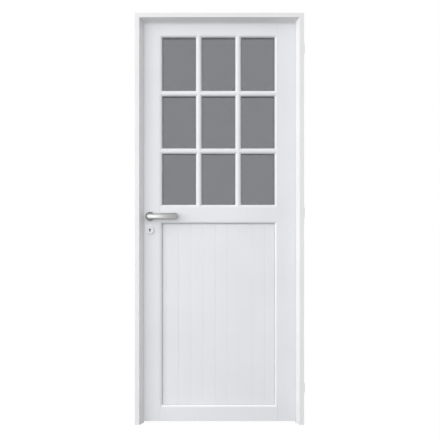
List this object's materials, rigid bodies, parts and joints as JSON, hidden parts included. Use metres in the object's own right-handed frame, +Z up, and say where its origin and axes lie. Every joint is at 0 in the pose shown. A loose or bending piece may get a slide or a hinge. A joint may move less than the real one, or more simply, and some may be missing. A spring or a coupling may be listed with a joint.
{
  "type": "half-glazed aluminium door in its frame",
  "caption": "Hinged door leaf with barred glazing above a grooved lower panel, hung in a three-sided frame, with a lever handle and key escutcheon.",
  "frame": {"origin": "on the hinge jamb's outer face, at floor level and at mid depth of the frame", "axes": "+X from the latch side to the hinge side, +Y from the push side to the pull side, +Z up"},
  "size_m": [0.867, 0.142, 2.08],
  "materials": {
    "frame_lacquer": "white satin powder coat",
    "leaf_lacquer": "white satin powder coat",
    "panel_lacquer": "white satin powder coat",
    "hinge_lacquer": "white satin powder coat",
    "glass": "clear, polished",
    "spacer_aluminium": "mill finish",
    "seal_rubber": "matt pale grey",
    "lock_steel": "brushed",
    "handle_metal": "satin anodised",
    "rose_metal": "dark grey satin anodised",
    "escutcheon_metal": "satin, pale"
  },
  "bodies": {
    "frame": {"hinge_jamb": "frame_lacquer", "latch_jamb": "frame_lacquer", "frame_head": "frame_lacquer", "stop_seal": "seal_rubber", "strike_plate": "lock_steel", "bottom_hinge_frame_half": "hinge_lacquer", "middle_hinge_frame_half": "hinge_lacquer", "top_hinge_frame_half": "hinge_lacquer"},
    "leaf": {"latch_stile": "leaf_lacquer", "hinge_stile": "leaf_lacquer", "top_rail": "leaf_lacquer", "lock_rail": "leaf_lacquer", "bottom_rail": "leaf_lacquer", "lip_seal": "seal_rubber", "front_upright_beads": "leaf_lacquer", "front_level_beads": "leaf_lacquer", "rear_upright_beads": "leaf_lacquer", "rear_level_beads": "leaf_lacquer", "front_upright_bars": "leaf_lacquer", "front_level_bars": "leaf_lacquer", "rear_upright_bars": "leaf_lacquer", "rear_level_bars": "leaf_lacquer", "front_pane": "glass", "rear_pane": "glass", "glazing_spacer": "spacer_aluminium", "lower_panel": "panel_lacquer", "lock_case": "lock_steel", "lock_faceplate": "lock_steel", "lock_bolts": "lock_steel", "front_rose": "rose_metal", "rear_rose": "rose_metal", "front_escutcheon": "escutcheon_metal", "rear_escutcheon": "escutcheon_metal", "bottom_hinge_leaf_half": "hinge_lacquer", "middle_hinge_leaf_half": "hinge_lacquer", "top_hinge_leaf_half": "hinge_lacquer"},
    "handle": {"front_lever": "handle_metal", "rear_lever": "handle_metal", "spindle": "lock_steel"}
  },
  "joints": [
    {"name": "door_swing", "type": "hinge", "parent": "frame", "child": "leaf", "pos_m": [0.004, 0.0475, 1.073], "axis": [0, 0, -1], "range_deg": [0, 160]},
    {"name": "lever_turn", "type": "hinge", "parent": "leaf", "child": "handle", "pos_m": [-0.782, 0.005, 1.053], "axis": [0, 1, 0], "range_deg": [0, 45], "stiffness_Nm_per_rad": 1.5, "springref_deg": -20.05}
  ]
}
